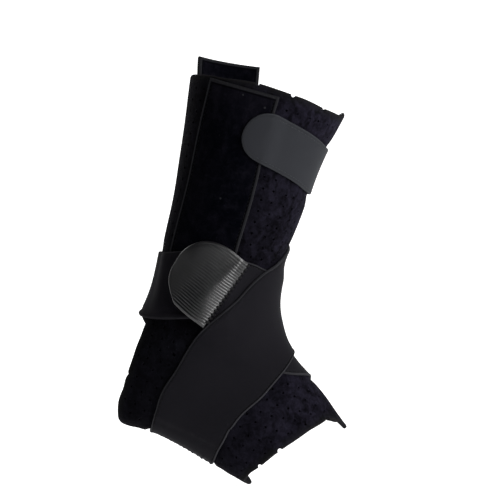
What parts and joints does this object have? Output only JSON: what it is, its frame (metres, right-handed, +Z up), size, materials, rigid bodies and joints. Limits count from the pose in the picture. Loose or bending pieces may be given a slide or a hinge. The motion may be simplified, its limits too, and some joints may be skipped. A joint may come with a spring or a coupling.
{
  "type": "foot immobilizer",
  "caption": "Wrap-round ankle brace with open heel and toes, side stay panels, crossing straps with ribbed hook tabs, an ankle band and a shin strap.",
  "frame": {"origin": "centre of the ankle that the brace closes round, in its middle plane", "axes": "+Z up the leg as the brace is worn by someone standing still, +X towards the toes, -Y towards the lateral side with the strap that lies on top"},
  "size_m": [0.1587, 0.1119, 0.3029],
  "materials": {
    "wrap_velour": "perforated loop cloth on foam, near black with a violet sheen",
    "panel_velour": "brushed loop cloth with bound edges, near black",
    "strap_cloth": "smooth knitted strap, matt, black",
    "tab_plastic": "ribbed moulded tab, satin, black",
    "shin_strap_cloth": "smooth strap, matt, charcoal grey"
  },
  "bodies": {
    "root": {"wrap_shell": "wrap_velour", "lateral_stay_panel": "panel_velour", "medial_stay_panel": "panel_velour", "achilles_band": "strap_cloth", "medial_strap": "strap_cloth", "lateral_strap": "strap_cloth", "lateral_hook_tab": "tab_plastic", "medial_hook_tab": "tab_plastic", "shin_strap": "shin_strap_cloth"}
  },
  "joints": []
}
